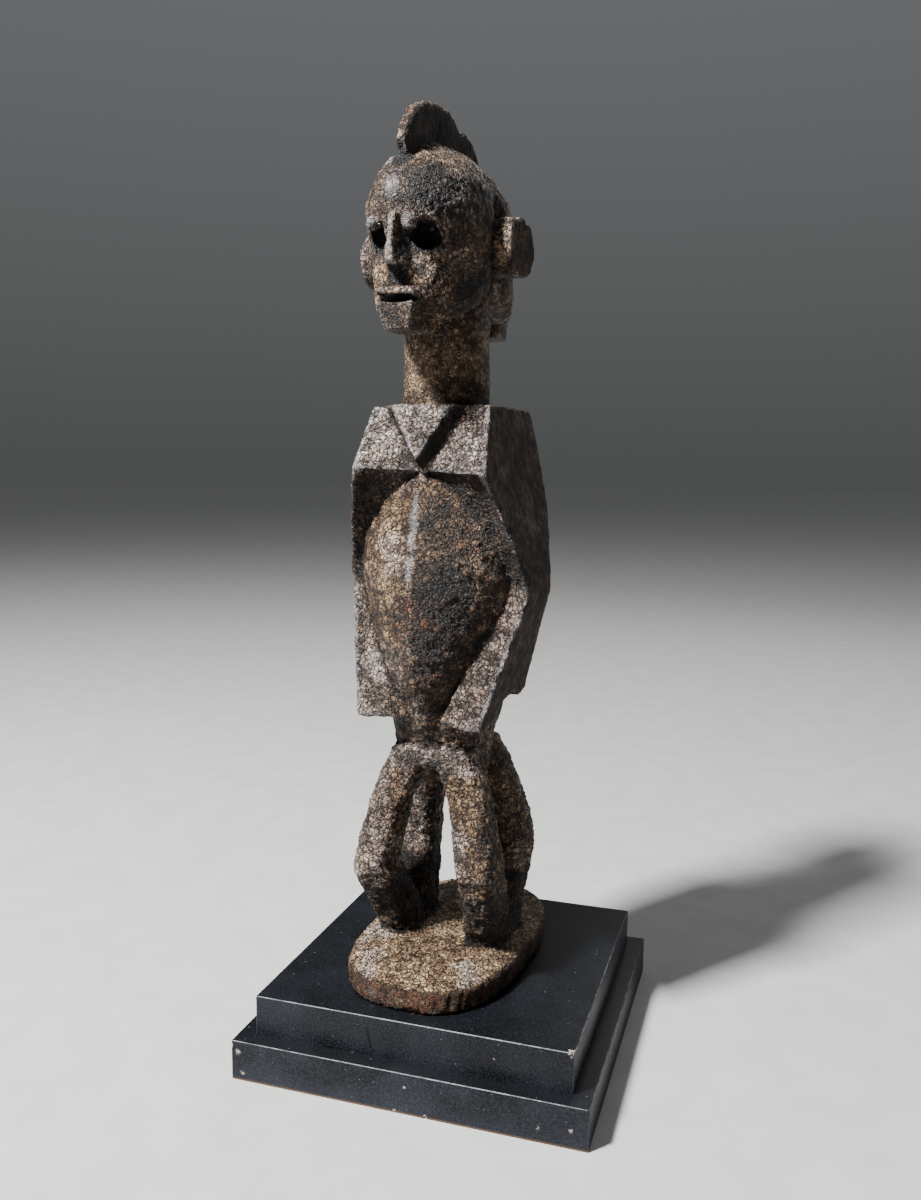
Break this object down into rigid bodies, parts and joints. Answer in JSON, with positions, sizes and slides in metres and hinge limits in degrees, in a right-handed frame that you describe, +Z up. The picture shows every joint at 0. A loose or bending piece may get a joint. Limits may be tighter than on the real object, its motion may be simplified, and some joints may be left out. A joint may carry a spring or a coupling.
{
  "type": "carved janus figure on plinth",
  "caption": "Carved wooden standing figure with a face to the front and one to the rear, disc ears and a fore-and-aft crest, on a black stepped square plinth.",
  "frame": {"origin": "middle of the plinth's underside", "axes": "+Z up, -Y the way the front face looks, +X the side of the figure's left hand"},
  "size_m": [0.1756, 0.1756, 0.4683],
  "materials": {
    "carved_wood": "dark wood under a thick cracked crust",
    "black_plinth": "black paint, satin and dusty"
  },
  "bodies": {
    "root": {"figure": "carved_wood", "plinth": "black_plinth"}
  },
  "joints": []
}
